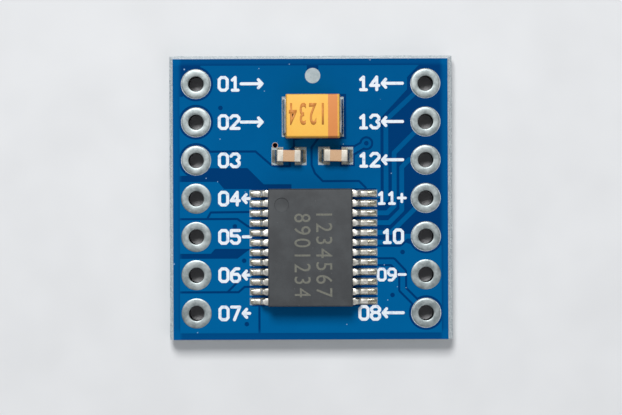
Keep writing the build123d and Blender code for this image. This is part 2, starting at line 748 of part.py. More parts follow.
# ---------------------------------------------------------------- tantalum capacitor
tantalum_seat = z_front_copper + solder_film
tantalum_parting = tantalum_seat + 0.98


def tantalum_terminal(side):
    """One bent strip: out of the case at its parting line, down the end and under it."""
    end = tantalum_length / 2 + terminal_thickness / 2
    low = tantalum_seat + terminal_thickness / 2
    path = FilletPolyline(
        (tantalum_length / 2 - 0.42, tantalum_parting), (end, tantalum_parting),
        (end, low), (end - terminal_foot, low), radius=0.10,
    )
    strip = extrude(Plane.XZ * trace(path, terminal_thickness), terminal_width / 2, both=True)
    if side < 0:
        strip = mirror(strip, Plane.YZ)
    return Pos(tantalum_x, tantalum_y) * strip


def tantalum_inside():
    """(the sintered pellet, the anode wire, the silver adhesive) inside the case."""
    shift = -0.12
    middle = tantalum_parting - 0.02
    pellet = Pos(tantalum_x + shift, tantalum_y, middle) * Box(pellet_length, pellet_width, pellet_height)
    face = tantalum_x + shift + pellet_length / 2
    strip_end = tantalum_x + tantalum_length / 2 - 0.42
    length = strip_end - face
    wire = Pos((face + strip_end) / 2, tantalum_y, middle) * Rot(0, 90, 0)
    wire = wire * Cylinder(anode_wire_radius, length)
    back = tantalum_x + shift - pellet_length / 2
    inner_end = tantalum_x - tantalum_length / 2 + 0.42
    paste = Pos((back + inner_end) / 2, tantalum_y, middle) * Box(back - inner_end, pellet_width - 0.3, 0.5)
    return pellet, wire, paste


def tantalum_case(inner):
    """The moulded case, drafted both ways from its parting line."""
    low = tantalum_seat + tantalum_lift
    high = tantalum_seat + tantalum_height
    outline = Pos(tantalum_x, tantalum_y, tantalum_parting) * Rectangle(tantalum_length, tantalum_width)
    case = extrude(outline, high - tantalum_parting, taper=tantalum_draft)
    case += extrude(outline, -(tantalum_parting - low), taper=tantalum_draft)
    for piece in inner:
        case -= piece
    return case


def end_fillet(centre, reach, height, width, side, face_x):
    """A solder fillet that climbs an upright end face, hollow like a quarter round. It starts
    a little inside that face, so that it also fills the rounded corner under it."""
    foot = face_x + side * reach
    root = face_x - side * 0.06
    low = z_front_copper
    outline = Polyline(
        (face_x, low + height), (root, low + height), (root, low), (foot, low), (foot, low + 0.02)
    )
    middle = (face_x + side * reach * 0.36, low + 0.02 + height * 0.30)
    outline += ThreePointArc((foot, low + 0.02), middle, (face_x, low + height))
    wedge = extrude(Plane.XZ * make_face(outline), width / 2, both=True)
    return Pos(0, centre) * wedge


def tantalum_solder(side, terminal):
    """The solder under and beside one terminal."""
    face_x = tantalum_x + side * (tantalum_length / 2 + terminal_thickness)
    reach = tantalum_land_reach - terminal_thickness
    ramp = end_fillet(tantalum_y, reach, 0.62, terminal_width + 0.1, side, face_x)
    inner = face_x - side * (terminal_foot + 0.05)
    left, right = sorted((inner, face_x))
    half = terminal_width / 2 + 0.05
    bed = box(left, tantalum_y - half, z_front_copper, right, tantalum_y + half, tantalum_seat)
    return (ramp + bed) - terminal


# ---------------------------------------------------------------- ceramic capacitors
ceramic_seat = z_front_copper + solder_film


def ceramic_place(centre):
    """Where one ceramic capacitor stands, slightly turned as it was placed."""
    return Pos(centre[0], centre[1], ceramic_seat) * Rot(0, 0, ceramic_turn)


def ceramic_electrodes(centre):
    """The plates inside the ceramic, reaching its two ends by turns."""
    inner = ceramic_length - 2 * end_cap_thickness
    plate_length = inner - 0.30
    first, last = 0.14, ceramic_height - 0.14
    plates = []
    for i in range(electrode_count):
        height = first + (last - first) * i / (electrode_count - 1)
        side = -1 if i % 2 else 1
        x = side * (inner - plate_length) / 2
        plates.append(Pos(x, 0, height) * Box(plate_length, ceramic_width - 0.30, electrode_thickness))
    return [ceramic_place(centre) * p for p in plates]


def ceramic_block(centre, plates):
    """The fired ceramic round its plates."""
    size = (ceramic_length, ceramic_width, ceramic_height)
    x, y, z = (s - 2 * end_cap_thickness for s in size)
    block = Pos(0, 0, ceramic_height / 2) * Box(x, y, z)
    block = fillet(block.edges().filter_by(Axis.X), 0.05)
    block = ceramic_place(centre) * block
    for plate in plates:
        block -= plate
    return block


def ceramic_end_cap(centre, side):
    """One metal cap, closed over the end of the ceramic."""
    size = (ceramic_length, ceramic_width, ceramic_height)
    x, y, z = (s - 2 * end_cap_thickness for s in size)
    outer = Pos(0, 0, ceramic_height / 2) * Box(*size)
    outer = fillet(outer.edges(), 0.07)
    core = Pos(0, 0, ceramic_height / 2) * Box(x, y, z)
    core = fillet(core.edges().filter_by(Axis.X), 0.05)
    kept = Pos(side * (ceramic_length / 2 - end_cap_length / 2), 0, ceramic_height / 2) * Box(
        end_cap_length, 2 * ceramic_width, 2 * ceramic_height
    )
    return ceramic_place(centre) * ((outer & kept) - core)


def ceramic_solder(centre, caps):
    """The two fillets of one ceramic capacitor, each on its land."""
    mounds = []
    for side, cap in zip((-1, 1), caps):
        face_x = centre[0] + side * (ceramic_length / 2 + 0.01)
        outer = centre[0] + side * ceramic_land_span / 2
        reach = abs(outer - face_x)
        ramp = end_fillet(centre[1], reach, 0.45, ceramic_width, side, face_x)
        inner = outer - side * ceramic_land_length
        left, right = sorted((inner, face_x))
        half = ceramic_land_width / 2 - 0.03
        bed = box(left, centre[1] - half, z_front_copper, right, centre[1] + half, ceramic_seat + 0.04)
        block = ceramic_place(centre) * Pos(0, 0, ceramic_height / 2) * Box(
            ceramic_length - 0.02, ceramic_width - 0.02, ceramic_height - 0.02
        )
        mounds.append((ramp + bed) - cap - block)
    return mounds


# ---------------------------------------------------------------- the whole board
def build():
    """Every sub-part by name, each a solid or a list of separate solids."""
    parts = {"laminate": laminate()}

    groups = sort_front_copper()
    for name, faces in groups.items():
        if faces:
            parts[name] = slab(merge([Sketch() + f for f in faces]), z_laminate_top, z_front_copper)
    pour, tracks = back_copper()
    parts["copper_back_ground_pour"] = slab(pour, z_back_copper, z_laminate_bottom)
    parts["copper_back_traces"] = slab(tracks, z_back_copper, z_laminate_bottom)

    for number, centre, radius in header_holes():
        parts[f"header_hole_{number:02d}"] = plated_hole(centre, radius)
    parts["vias"] = [via_barrel(v) for v in [open_via, *tented_vias]]
    parts["fiducial"] = slab(disc(fiducial_centre(), fiducial_radius), z_laminate_top, z_front_tin)
    parts["trace_tinning"] = slab(bare_traces(), z_front_copper, z_front_tin)
    parts["chip_lands"] = [slab(s, z_laminate_top, z_front_copper) for s in chip_lands()]
    capacitor_lands = tantalum_lands() + ceramic_lands(left_ceramic) + ceramic_lands(right_ceramic)
    parts["capacitor_lands"] = [slab(s, z_laminate_top, z_front_copper) for s in capacitor_lands]

    # The mask closes each tented via, and sags over its hole to the height it has on laminate.
    rims = merge([disc(v, via_hole_radius + via_plating) - disc(v, via_hole_radius) for v in tented_vias])
    copper = front_copper()
    front = merge([copper, rims])
    front_coat = solder_mask(front, front_openings(), z_laminate_top, 1)
    front_coat -= slab(merge([disc(open_via, via_hole_radius + via_plating)]), 0, 9)
    parts["solder_mask_front"] = front_coat
    back = merge([pour, tracks, rims, disc(open_via, via_hole_radius + via_plating)])
    back_coat = solder_mask(back, back_openings(), z_laminate_bottom, -1)
    parts["pin_numbers_front"] = front_ink(front_coat)
    parts["pin_numbers_back"] = back_ink()
    parts["solder_mask_back"] = back_coat - parts["pin_numbers_back"]

    left_leads, right_leads = chip_leads(-1), chip_leads(1)
    die, glue = chip_die()
    wires = [bond_wire(side, k) for side in (-1, 1) for k in range(leads_per_side)]
    parts["chip_leads_left"] = left_leads
    parts["chip_leads_right"] = right_leads
    parts["chip_die_paddle"] = chip_paddle()
    parts["chip_die"] = die
    parts["chip_die_adhesive"] = glue
    parts["chip_bond_wires"] = wires
    inner = [*left_leads, *right_leads, parts["chip_die_paddle"], die, glue, *wires]
    parts["chip_case"] = chip_body(inner)
    parts["chip_solder_left"] = chip_solder(-1, left_leads)
    parts["chip_solder_right"] = chip_solder(1, right_leads)

    terminals = [tantalum_terminal(side) for side in (-1, 1)]
    pellet, wire, paste = tantalum_inside()
    parts["tantalum_cathode_terminal"], parts["tantalum_anode_terminal"] = terminals
    parts["tantalum_pellet"] = pellet
    parts["tantalum_anode_wire"] = wire
    parts["tantalum_silver_adhesive"] = paste
    parts["tantalum_case"] = tantalum_case([*terminals, pellet, wire, paste])
    parts["tantalum_solder"] = [tantalum_solder(s, t) for s, t in zip((-1, 1), terminals)]

    for name, centre in (("left", left_ceramic), ("right", right_ceramic)):
        plates = ceramic_electrodes(centre)
        caps = [ceramic_end_cap(centre, side) for side in (-1, 1)]
        parts[f"ceramic_{name}_block"] = ceramic_block(centre, plates)
        parts[f"ceramic_{name}_electrodes"] = plates
        parts[f"ceramic_{name}_end_caps"] = caps
        parts[f"ceramic_{name}_solder"] = ceramic_solder(centre, caps)
    return parts


def main():
    """Writes one STEP file for each sub-part."""
    os.makedirs("parts", exist_ok=True)
    for name, made in build().items():
        solids = []
        for piece in made if isinstance(made, list) else [made]:
            solids += piece.solids()
        export_step(solids[0] if len(solids) == 1 else Compound(children=solids), f"parts/{name}.step")


main()
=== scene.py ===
"""Finishes, close detail and a plain studio for a dual motor driver breakout board.

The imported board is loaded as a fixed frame. Pieces whose form needs more than the frame gives
are modelled here and stand for its nodes: header hole plating, solder, moulded cases, marks
and torn board edges. All lengths are metres, most of them written as a number times MM.
"""

from __future__ import annotations

import json
import logging
import math
from dataclasses import dataclass
from enum import Enum
from typing import Callable

import bpy
from mathutils import Matrix, Vector

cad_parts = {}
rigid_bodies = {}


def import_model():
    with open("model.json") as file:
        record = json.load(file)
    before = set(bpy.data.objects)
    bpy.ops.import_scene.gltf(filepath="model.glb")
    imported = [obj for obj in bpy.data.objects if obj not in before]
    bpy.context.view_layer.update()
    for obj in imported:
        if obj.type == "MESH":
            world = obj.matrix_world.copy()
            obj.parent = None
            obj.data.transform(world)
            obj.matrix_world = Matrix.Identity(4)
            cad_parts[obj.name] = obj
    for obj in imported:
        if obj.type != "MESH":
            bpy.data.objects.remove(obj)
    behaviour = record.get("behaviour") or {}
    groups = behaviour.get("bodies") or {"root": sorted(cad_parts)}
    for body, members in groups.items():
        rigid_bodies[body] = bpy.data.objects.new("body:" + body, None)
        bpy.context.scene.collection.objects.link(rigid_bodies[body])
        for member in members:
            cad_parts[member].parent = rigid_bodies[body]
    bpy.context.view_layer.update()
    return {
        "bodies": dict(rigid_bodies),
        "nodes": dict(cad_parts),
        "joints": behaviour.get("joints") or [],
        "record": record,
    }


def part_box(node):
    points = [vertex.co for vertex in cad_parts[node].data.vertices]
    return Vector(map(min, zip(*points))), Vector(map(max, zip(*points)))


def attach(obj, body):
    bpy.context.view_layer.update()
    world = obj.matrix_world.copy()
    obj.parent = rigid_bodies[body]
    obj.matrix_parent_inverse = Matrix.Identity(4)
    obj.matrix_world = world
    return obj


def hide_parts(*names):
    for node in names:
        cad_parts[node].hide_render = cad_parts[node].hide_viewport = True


MM = 0.001
MERGE_DISTANCE = 0.0002 * MM
BODY = "root"
log = logging.getLogger("driver_board")

Colour = tuple[float, float, float, float]
Test = Callable[[Vector, Vector], bool]


class Slot(Enum):
    """Names of the record's material slots, handed over with new pieces but not read."""

    TINNED = "tinned"
    SOLDER = "solder"
    LEAD_FRAME = "lead_frame"
    MOULD = "mould_compound"
    YELLOW = "yellow_epoxy"
    CERAMIC = "fired_ceramic"
    FIBRE = "laminate_fibre"


class Side(Enum):
    """A side of the board or of a component, as a sign along its axis."""

    LEFT = -1
    RIGHT = 1


def paint(red: float, green: float, blue: float) -> Colour:
    """Turn a display colour from 0 to 255 into the linear colour that a shader takes.

    Args:
        red: Display red.
        green: Display green.
        blue: Display blue.

    Returns:
        The linear colour with full alpha.
    """

    def linear(level: float) -> float:
        """One channel on the display curve made linear."""
        part = level / 255
        return part / 12.92 if part <= 0.04045 else ((part + 0.055) / 1.055) ** 2.4

    return (linear(red), linear(green), linear(blue), 1.0)


# --------------------------------------------------------------------------- shader maths
class Signal:
    """An output socket that takes part in arithmetic by adding Math nodes."""

    def __init__(self, graph: Graph, socket: bpy.types.NodeSocket) -> None:
        """Keep the socket and the graph that it belongs to."""
        self.graph = graph
        self.socket = socket

    def _math(self, operation: str, first: object, second: object = 0.0) -> Signal:
        """Join two values, this one among them, with a Math node."""
        return self.graph.node("ShaderNodeMath", {"operation": operation}, {0: first, 1: second})

    def __add__(self, other: object) -> Signal:
        """This value plus another."""
        return self._math("ADD", self, other)

    __radd__ = __add__

    def __sub__(self, other: object) -> Signal:
        """This value minus another."""
        return self._math("SUBTRACT", self, other)

    def __rsub__(self, other: object) -> Signal:
        """Another value minus this one."""
        return self._math("SUBTRACT", other, self)

    def __mul__(self, other: object) -> Signal:
        """This value times another."""
        return self._math("MULTIPLY", self, other)

    __rmul__ = __mul__

    def __abs__(self) -> Signal:
        """This value without its sign."""
        return self._math("ABSOLUTE", self)

    def above(self, limit: float) -> Signal:
        """1 where this value is over the limit, and 0 elsewhere."""
        return self._math("GREATER_THAN", self, limit)

    def ramp(self, low: float, high: float) -> Signal:
        """Rise smoothly from 0 where this value is low to 1 where it is high."""
        settings = {"interpolation_type": "SMOOTHSTEP"}
        stops = {"Value": self, "From Min": low, "From Max": high}
        return self.graph.node("ShaderNodeMapRange", settings, stops)

    def mix(self, low: object, high: object) -> Signal:
        """Blend two colours, the second showing where this value is 1."""
        settings = {"data_type": "RGBA", "clamp_factor": True}
        return self.graph.node("ShaderNodeMix", settings, {0: self, 6: low, 7: high}, 2)


class Graph:
    """The nodes of one material, with its Principled shader at the end."""

    def __init__(self, name: str, **constants: object) -> None:
        """Start a material.

        Args:
            name: The material's name.
            constants: Values for the shader's own sockets, with underscores for spaces.
        """
        self.material = bpy.data.materials.new(name)
        self.material.use_nodes = True
        self.tree = self.material.node_tree
        self.shader = self.tree.nodes["Principled BSDF"]
        for key, value in constants.items():
            self.shader.inputs[key.replace("_", " ")].default_value = value
        self.place = self.node("ShaderNodeTexCoord", out="Object")

    def node(self, kind: str, settings: dict | None = None, inputs: dict | None = None,
             out: int | str = 0) -> Signal:
        """Add one node.

        Args:
            kind: The node's type.
            settings: Its properties; "stops" are a colour ramp's (position, colour) pairs.
            inputs: Values or signals by input name or number.
            out: The output that is returned.

        Returns:
            The chosen output.
        """
        made = self.tree.nodes.new(kind)
        for key, value in (settings or {}).items():
            if key == "stops":
                ramp = made.color_ramp
                while len(ramp.elements) < len(value):
                    ramp.elements.new(1.0)
                for element, (position, colour) in zip(ramp.elements, value):
                    element.position = position
                    element.color = colour
            else:
                setattr(made, key, value)
        for key, value in (inputs or {}).items():
            if isinstance(value, Signal):
                self.tree.links.new(value.socket, made.inputs[key])
            else:
                made.inputs[key].default_value = value
        return Signal(self, made.outputs[out])

    def along(self, axis: str) -> Signal:
        """The place on the piece along one axis, in millimetres."""
        return self.node("ShaderNodeSeparateXYZ", None, {0: self.place}, axis) * (1 / MM)

    def noise(self, grain: float, detail: float = 3.0, stretch: tuple = (1, 1, 1)) -> Signal:
        """Soft noise of a grain size.

        Args:
            grain: The size of one blotch, in millimetres.
            detail: How many finer layers it has.
            stretch: How much denser it is along each axis.

        Returns:
            A value round 0.5.
        """
        place = self.node("ShaderNodeMapping", None, {0: self.place, "Scale": stretch})
        inputs = {"Vector": place, "Scale": 1 / (grain * MM), "Detail": detail, "Roughness": 0.6}
        return self.node("ShaderNodeTexNoise", None, inputs)

    def specks(self, spacing: float, size: float) -> Signal:
        """1 in small round specks and 0 between them.

        Args:
            spacing: The mean distance between specks, in millimetres.
            size: A speck's radius as a share of the spacing.

        Returns:
            The mask of the specks.
        """
        inputs = {"Vector": self.place, "Scale": 1 / (spacing * MM), "Randomness": 1.0}
        distance = self.node("ShaderNodeTexVoronoi", None, inputs, "Distance")
        return 1 - distance.ramp(size * 0.6, size)

    def feed(self, name: str, value: Signal) -> None:
        """Lead a signal to one of the shader's sockets."""
        self.tree.links.new(value.socket, self.shader.inputs[name])

    def bump(self, height: Signal, depth: float, strength: float = 1.0) -> None:
        """Raise the surface by a signal.

        Args:
            height: The signal, from 0 to 1.
            depth: How deep a full step is, in millimetres.
            strength: How much of the effect shows.
        """
        inputs = {"Height": height, "Distance": depth * MM, "Strength": strength}
        self.feed("Normal", self.node("ShaderNodeBump", None, inputs))


# --------------------------------------------------------------------------- finishes
@dataclass(frozen=True)
class MaskFinish:
    """Glossy solder mask: lighter where it lies on copper, darker on bare laminate, with painted light
    brightening the coat towards the lower left.
    """

    on_copper: Colour = paint(0, 84, 139)
    # Painted light: the coat's colour where it is painted brightest, at the lower left corner.
    painted_lit_corner: Colour = paint(0, 98, 156)
    on_laminate: Colour = paint(0, 56, 111)
    edge_band: Colour = paint(0, 90, 149)
    dust: Colour = paint(165, 200, 230)
    mid_plane: float = 0.81
    low_skin: float = 0.794
    high_skin: float = 0.806

    def make(self) -> bpy.types.Material:
        """Build the material and return it."""
        graph = Graph("solder_mask", Roughness=0.22, Specular_IOR_Level=0.22,
                      Specular_Tint=paint(90, 170, 255))
        height = abs(graph.along("Z") - self.mid_plane)
        raised = height.ramp(self.low_skin, self.high_skin)
        across, along = graph.along("X"), graph.along("Y")
        rim = abs(across).ramp(8.5, 8.9) * 0.8 + (0 - along).ramp(8.6, 8.95) * 0.45
        rim = rim + along.ramp(8.75, 9.05) * 0.45
        bare = rim.mix(self.on_laminate, self.edge_band)
        # Painted light: the coat over copper is painted lighter towards the lower left, as if lit more there.
        thin_ink_and_painted_light = (0 - along - across * 0.6).ramp(-12.0, 11.0) * 0.75
        cloud = graph.noise(2.6, 2.0).ramp(0.25, 0.75) * 0.2
        coated = (thin_ink_and_painted_light + cloud).mix(self.on_copper, self.painted_lit_corner)
        colour = raised.mix(bare, coated)
        dust = graph.specks(0.8, 0.055) * graph.noise(2.4, 1.0).above(0.52)
        dust = dust + graph.specks(2.3, 0.030)
        graph.feed("Base Color", (dust * 0.75).mix(colour, self.dust))
        graph.feed("Roughness", graph.noise(0.5, 2.0) * 0.10 + 0.16 + dust * 0.4)
        graph.bump(graph.noise(0.30, 3.0) + dust * 0.5, 0.004, 0.5)
        return graph.material


@dataclass(frozen=True)
class FibreFinish:
    """Cut and torn glass-epoxy: pale, with short fibres lying along the edge."""

    pale: Colour = paint(222, 229, 230)
    dark: Colour = paint(158, 170, 177)

    def make(self) -> bpy.types.Material:
        """Build the material and return it."""
        graph = Graph("torn_laminate", Roughness=0.8, Specular_IOR_Level=0.35)
        tufts = graph.noise(0.10, 4.0)
        layers = graph.noise(0.16, 2.0, (0.15, 0.15, 2.2))
        shade = (tufts * 0.75 + layers * 0.35).ramp(0.38, 0.70)
        graph.feed("Base Color", shade.mix(self.dark, self.pale))
        graph.bump(tufts + layers * 0.6, 0.05, 0.8)
        return graph.material


@dataclass(frozen=True)
class MetalFinish:
    """Bare metal with a fine grain, tarnish blotches and uneven polish, and painted shade on a hole's bore
    wall when a shade colour is given.
    """

    name: str
    bright: Colour
    dull: Colour
    roughness: float = 0.35
    grain: float = 0.12
    grain_depth: float = 0.004
    # Painted shade: a near-black colour for the wall deep inside a hole's bore.
    painted_bore_shade: Colour | None = None
    mid_plane: float = 0.81
    barrel_half: float = 0.745

    def make(self) -> bpy.types.Material:
        """Build the material and return it."""
        graph = Graph(self.name, Metallic=1.0)
        blotches = graph.noise(0.45, 3.0).ramp(0.30, 0.70)
        grain = graph.noise(self.grain, 4.0)
        colour = (blotches * 0.8 + grain * 0.2).mix(self.dull, self.bright)
        # Painted shade: the bore's wall, away from the board's faces, is painted near-black.
        if self.painted_bore_shade:
            depth = abs(graph.along("Z") - self.mid_plane)
            colour = depth.ramp(self.barrel_half - 0.03, self.barrel_half + 0.03).mix(self.painted_bore_shade, colour)
        graph.feed("Base Color", colour)
        graph.feed("Roughness", grain * 0.22 + (self.roughness - 0.11) + blotches * 0.06)
        graph.bump(grain, self.grain_depth, 0.7)
        return graph.material


@dataclass(frozen=True)
class InkFinish:
    """Screen-printed ink: flat white, slightly thin and grainy at its edges."""

    name: str = "label_ink"
    full: Colour = paint(236, 242, 248)
    thin_ink_and_painted_light: Colour = paint(190, 210, 232)

    def make(self) -> bpy.types.Material:
        """Build the material and return it."""
        graph = Graph(self.name, Roughness=0.62)
        patches = graph.noise(0.22, 4.0).ramp(0.28, 0.52)
        graph.feed("Base Color", patches.mix(self.thin_ink_and_painted_light, self.full))
        graph.bump(graph.noise(0.08, 2.0), 0.006, 0.6)
        return graph.material


@dataclass(frozen=True)
class MouldFinish:
    """Dark moulding compound, matt and finely pitted by the mould."""

    compound: Colour = paint(60, 62, 64)
    worn: Colour = paint(75, 78, 80)

    def make(self) -> bpy.types.Material:
        """Build the material and return it."""
        graph = Graph("mould_compound", Specular_IOR_Level=0.45)
        grain = graph.noise(0.07, 3.0)
        clouds = graph.noise(1.3, 3.0).ramp(0.3, 0.7)
        shade = (grain * 0.55 + clouds * 0.35).ramp(0.15, 0.85)
        filler = graph.specks(0.55, 0.07) * 0.35
        colour = shade.mix(self.compound, self.worn)
        graph.feed("Base Color", filler.mix(colour, paint(128, 130, 130)))
        graph.feed("Roughness", grain * 0.2 + 0.52)
        graph.bump(grain, 0.010, 0.7)
        return graph.material


@dataclass(frozen=True)
class YellowFinish:
    """Yellow moulded epoxy with a darker polarity band printed across one end."""

    band_start: float
    band_end: float
    epoxy: Colour = paint(252, 198, 84)
    deep: Colour = paint(252, 188, 78)
    band: Colour = paint(222, 137, 75)

    def make(self) -> bpy.types.Material:
        """Build the material and return it."""
        graph = Graph("yellow_epoxy", Specular_IOR_Level=0.4)
        grain = graph.noise(0.09, 3.0)
        clouds = graph.noise(1.0, 2.0).ramp(0.3, 0.7)
        colour = (clouds * 0.6 + grain * 0.3).mix(self.deep, self.epoxy)
        along = graph.along("X") + (grain - 0.5) * 0.05
        band = along.ramp(self.band_start - 0.02, self.band_start + 0.02)
        band = band * (1 - along.ramp(self.band_end - 0.02, self.band_end + 0.02))
        graph.feed("Base Color", (band * 0.94).mix(colour, self.band))
        graph.feed("Roughness", grain * 0.2 + 0.40)
        graph.bump(grain, 0.010, 0.6)
        return graph.material


@dataclass(frozen=True)
class PlainFinish:
    """A matt or satin solid with a fine grain, for ceramic, silicon, paste and marks."""

    name: str
    light: Colour
    dark: Colour
    roughness: float = 0.55
    grain: float = 0.06

    def make(self) -> bpy.types.Material:
        """Build the material and return it."""
        graph = Graph(self.name, Roughness=self.roughness)
        grain = graph.noise(self.grain, 3.0)
        graph.feed("Base Color", grain.ramp(0.3, 0.7).mix(self.dark, self.light))
        graph.bump(grain, 0.005, 0.6)
        return graph.material


# --------------------------------------------------------------------------- modelling bench
class Bench:
    """Modelling steps that work on one new piece at a time."""

    @staticmethod
    def clear() -> None:
        """Deselect everything and leave edit mode."""
        if bpy.context.object and bpy.context.object.mode != "OBJECT":
            bpy.ops.object.mode_set(mode="OBJECT")
        bpy.ops.object.select_all(action="DESELECT")

    @staticmethod
    def take(piece: bpy.types.Object) -> bpy.types.Object:
        """Make one piece the only selected and the active one, and return it."""
        Bench.clear()
        piece.select_set(True)
        bpy.context.view_layer.objects.active = piece
        return piece

    @staticmethod
    def block(name: str, low: Vector, high: Vector) -> bpy.types.Object:
        """Add a cube stretched between two corners.

        Args:
            name: The piece's name.
            low: The lowest corner.
            high: The highest corner.

        Returns:
            The new piece, unscaled and at the origin.
        """
        Bench.clear()
        size = Vector(high) - Vector(low)
        middle = (Vector(high) + Vector(low)) / 2
        bpy.ops.mesh.primitive_cube_add(size=1.0, location=middle, scale=size)
        piece = bpy.context.object
        piece.name = name
        piece.data.name = name
        Bench.settle(piece)
        return piece

    @staticmethod
    def settle(piece: bpy.types.Object) -> None:
        """Move a piece's place, turn and scale into its mesh."""
        Bench.take(piece)
        bpy.ops.object.transform_apply(location=True, rotation=True, scale=True)

    @staticmethod
    def pick(piece: bpy.types.Object, test: Test) -> int:
        """Enter edit mode with the faces selected that pass a test.

        Args:
            piece: The piece to work on.
            test: Told a face's centre and normal, says whether it is wanted.

        Returns:
            How many faces were selected.
        """
        Bench.take(piece)
        bpy.ops.object.mode_set(mode="EDIT")
        bpy.ops.mesh.select_mode(type="FACE")
        bpy.ops.mesh.select_all(action="DESELECT")
        bpy.ops.object.mode_set(mode="OBJECT")
        wanted = 0
        for face in piece.data.polygons:
            face.select = test(face.center, face.normal)
            wanted += face.select
        bpy.ops.object.mode_set(mode="EDIT")
        return wanted

    @staticmethod
    def pick_edges(piece: bpy.types.Object, axis: int) -> None:
        """Enter edit mode with the edges selected that run along one axis."""
        Bench.take(piece)
        bpy.ops.object.mode_set(mode="EDIT")
        bpy.ops.mesh.select_mode(type="EDGE")
        bpy.ops.mesh.select_all(action="DESELECT")
        bpy.ops.object.mode_set(mode="OBJECT")
        points = piece.data.vertices
        for edge in piece.data.edges:
            run = points[edge.vertices[1]].co - points[edge.vertices[0]].co
            edge.select = abs(run[axis]) > 0.9 * run.length
        bpy.ops.object.mode_set(mode="EDIT")

    @staticmethod
    def done() -> None:
        """Leave edit mode."""
        bpy.ops.object.mode_set(mode="OBJECT")

    @staticmethod
    def finish_with(piece: bpy.types.Object, kind: str, **settings: object) -> None:
        """Add a modifier, set it and apply it.

        Args:
            piece: The piece to change.
            kind: The modifier's type.
            settings: Its properties.
        """
        Bench.take(piece)
        modifier = piece.modifiers.new(kind.lower(), kind)
        for key, value in settings.items():
            setattr(modifier, key, value)
        bpy.ops.object.modifier_apply(modifier=modifier.name)

    @staticmethod
    def round_edges(piece: bpy.types.Object, width: float, segments: int = 3) -> None:
        """Round a piece's sharp edges and shade it smooth between them.

        Args:
            piece: The piece to round.
            width: The rounding's width.
            segments: How many faces make up one rounding.
        """
        Bench.finish_with(piece, "BEVEL", width=width, segments=segments,
                          limit_method="ANGLE", angle_limit=math.radians(28))
        Bench.smooth(piece, 40)

    @staticmethod
    def smooth(piece: bpy.types.Object, degrees: float) -> None:
        """Shade a piece smooth but for edges sharper than an angle."""
        Bench.take(piece)
        bpy.ops.object.shade_smooth_by_angle(angle=math.radians(degrees))

    @staticmethod
    def copy(piece: bpy.types.Object, name: str, place: Matrix) -> bpy.types.Object:
        """Copy a piece with its own mesh.

        Args:
            piece: The piece to copy.
            name: The copy's name.
            place: What the copy's points are moved by.

        Returns:
            The copy.
        """
        twin = piece.copy()
        twin.data = piece.data.copy()
        twin.data.transform(place)
        twin.name = name
        twin.data.name = name
        bpy.context.collection.objects.link(twin)
        return twin

    @staticmethod
    def join(pieces: list[bpy.types.Object], name: str) -> bpy.types.Object:
        """Join pieces into one, and return it."""
        Bench.take(pieces[0])
        for piece in pieces:
            piece.select_set(True)
        bpy.ops.object.join()
        pieces[0].name = name
        pieces[0].data.name = name
        return pieces[0]

    @staticmethod
    def remove(piece: bpy.types.Object) -> None:
        """Delete a piece that was only a pattern or a cutter."""
        mesh = piece.data
        bpy.data.objects.remove(piece)
        bpy.data.meshes.remove(mesh)

    @staticmethod
    def merged_nodes(frame: dict, nodes: list[str], name: str) -> bpy.types.Object:
        """Copy nodes of the frame into one piece whose loose triangles are merged.

        Args:
            frame: The loaded frame.
            nodes: The nodes to copy.
            name: The new piece's name.

        Returns:
            The merged piece.
        """
        copies = []
        for node in nodes:
            source = frame["nodes"][node]
            twin = bpy.data.objects.new(name, source.data.copy())
            bpy.context.collection.objects.link(twin)
            copies.append(twin)
        piece = Bench.join(copies, name) if len(copies) > 1 else copies[0]
        Bench.take(piece)
        bpy.ops.object.mode_set(mode="EDIT")
        bpy.ops.mesh.select_all(action="SELECT")
        bpy.ops.mesh.remove_doubles(threshold=MERGE_DISTANCE)
        bpy.ops.mesh.dissolve_limited(angle_limit=math.radians(0.5))
        Bench.done()
        return piece

    @staticmethod
    def dress(piece: bpy.types.Object, material: bpy.types.Material) -> None:
        """Give a piece one material all over."""
        piece.data.materials.clear()
        piece.data.materials.append(material)

    @staticmethod
    def hand_over(piece: bpy.types.Object, material: bpy.types.Material, slot: Slot,
                  *nodes: str) -> None:
        """Dress a new piece, let it ride on the board and hide the nodes that it stands for.

        Args:
            piece: The finished piece.
            material: Its material.
            slot: Not used.
            nodes: The nodes of the frame that it stands for.
        """
        Bench.clear()
        Bench.dress(piece, material)
        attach(piece, BODY)
        if nodes:
            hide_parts(*nodes)
        log.info("%s: %d faces", piece.name, len(piece.data.polygons))


def corners(node: str) -> tuple[Vector, Vector]:
    """The lowest and the highest corner of a node of the frame."""
    low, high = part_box(node)
    return Vector(low), Vector(high)


